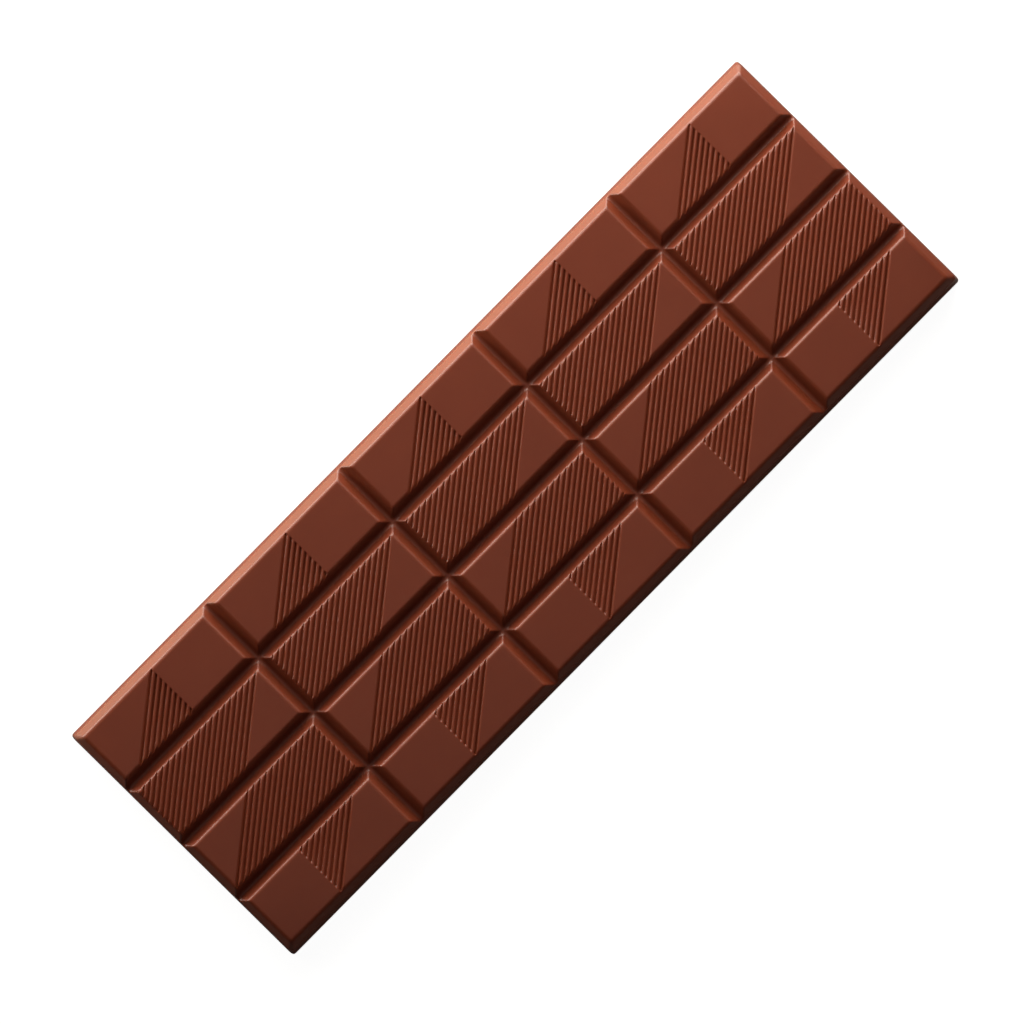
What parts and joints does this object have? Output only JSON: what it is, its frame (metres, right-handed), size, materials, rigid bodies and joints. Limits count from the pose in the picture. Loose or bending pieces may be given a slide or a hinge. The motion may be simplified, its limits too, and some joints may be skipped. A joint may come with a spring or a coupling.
{
  "type": "chocolate bar",
  "caption": "Milk chocolate tablet: a flat-backed slab, scored by V grooves into oblong segments with slanted ribbed panels, to be broken by hand and eaten.",
  "frame": {"origin": "on the flat back, under the middle of the tablet", "axes": "+X along the tablet, +Y across it, +Z out of the moulded face"},
  "size_m": [0.182, 0.06, 0.0076],
  "materials": {
    "milk_chocolate": "satin, smooth from the mould"
  },
  "bodies": {
    "root": {"chocolate_bar": "milk_chocolate"}
  },
  "joints": []
}
